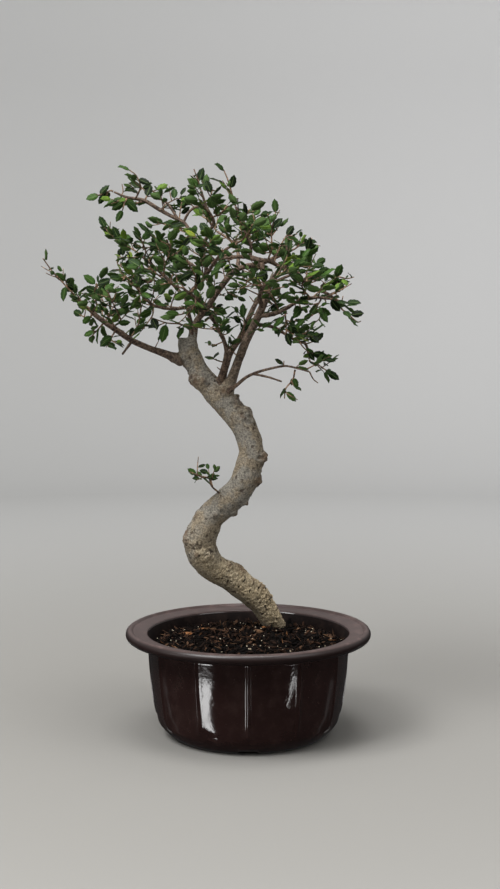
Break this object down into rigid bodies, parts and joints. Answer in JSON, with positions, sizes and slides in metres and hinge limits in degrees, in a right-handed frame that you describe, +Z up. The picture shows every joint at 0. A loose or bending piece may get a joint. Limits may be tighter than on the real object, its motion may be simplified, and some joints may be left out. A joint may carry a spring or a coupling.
{
  "type": "bonsai tree in a training pot",
  "caption": "Small elm bonsai with an S-shaped trunk, thin boughs and toothed leaves, growing in a round fluted training pot.",
  "frame": {"origin": "middle of the pot's flat underside", "axes": "+Z up along the tree's height, +X to the right of the front view, +Y to the back"},
  "size_m": [0.2413, 0.184, 0.4287],
  "materials": {
    "pot": "glossy dark brown moulded plastic, with a satin rim",
    "soil": "dark bark potting mix with pale specks and bark chips",
    "bark": "smooth grey bark with tan patches, knobs and pore marks",
    "leaves": "glossy dark green toothed leaves on thin brown twigs"
  },
  "bodies": {
    "root": {"pot": "pot", "soil": "soil", "wood": "bark", "shoot_left_1": "leaves", "shoot_left_2": "leaves", "shoot_left_3": "leaves", "shoot_left_4": "leaves", "shoot_left_5": "leaves", "shoot_left_6": "leaves", "shoot_left_7": "leaves", "shoot_left_8": "leaves", "shoot_mid_1": "leaves", "shoot_mid_2": "leaves", "shoot_mid_3": "leaves", "shoot_mid_4": "leaves", "shoot_mid_5": "leaves", "shoot_mid_6": "leaves", "shoot_mid_7": "leaves", "shoot_front_1": "leaves", "shoot_front_2": "leaves", "shoot_front_3": "leaves", "shoot_front_4": "leaves", "shoot_front_5": "leaves", "shoot_front_6": "leaves", "shoot_front_7": "leaves", "shoot_high_1": "leaves", "shoot_high_2": "leaves", "shoot_high_3": "leaves", "shoot_high_4": "leaves", "shoot_high_5": "leaves", "shoot_high_6": "leaves", "shoot_top_1": "leaves", "shoot_top_2": "leaves", "shoot_top_3": "leaves", "shoot_top_4": "leaves", "shoot_top_5": "leaves", "shoot_top_6": "leaves", "shoot_right_1": "leaves", "shoot_right_2": "leaves", "shoot_right_3": "leaves", "shoot_right_4": "leaves", "shoot_right_5": "leaves", "shoot_right_6": "leaves", "shoot_right_7": "leaves", "shoot_right_8": "leaves", "shoot_right_9": "leaves", "shoot_right_10": "leaves", "shoot_right_11": "leaves", "shoot_right_12": "leaves", "shoot_back_1": "leaves", "shoot_back_2": "leaves", "shoot_back_3": "leaves", "shoot_back_4": "leaves", "shoot_back_5": "leaves", "shoot_back_6": "leaves", "shoot_back_7": "leaves", "shoot_back_8": "leaves", "shoot_back_9": "leaves", "shoot_low_1": "leaves", "shoot_low_2": "leaves"}
  },
  "joints": []
}
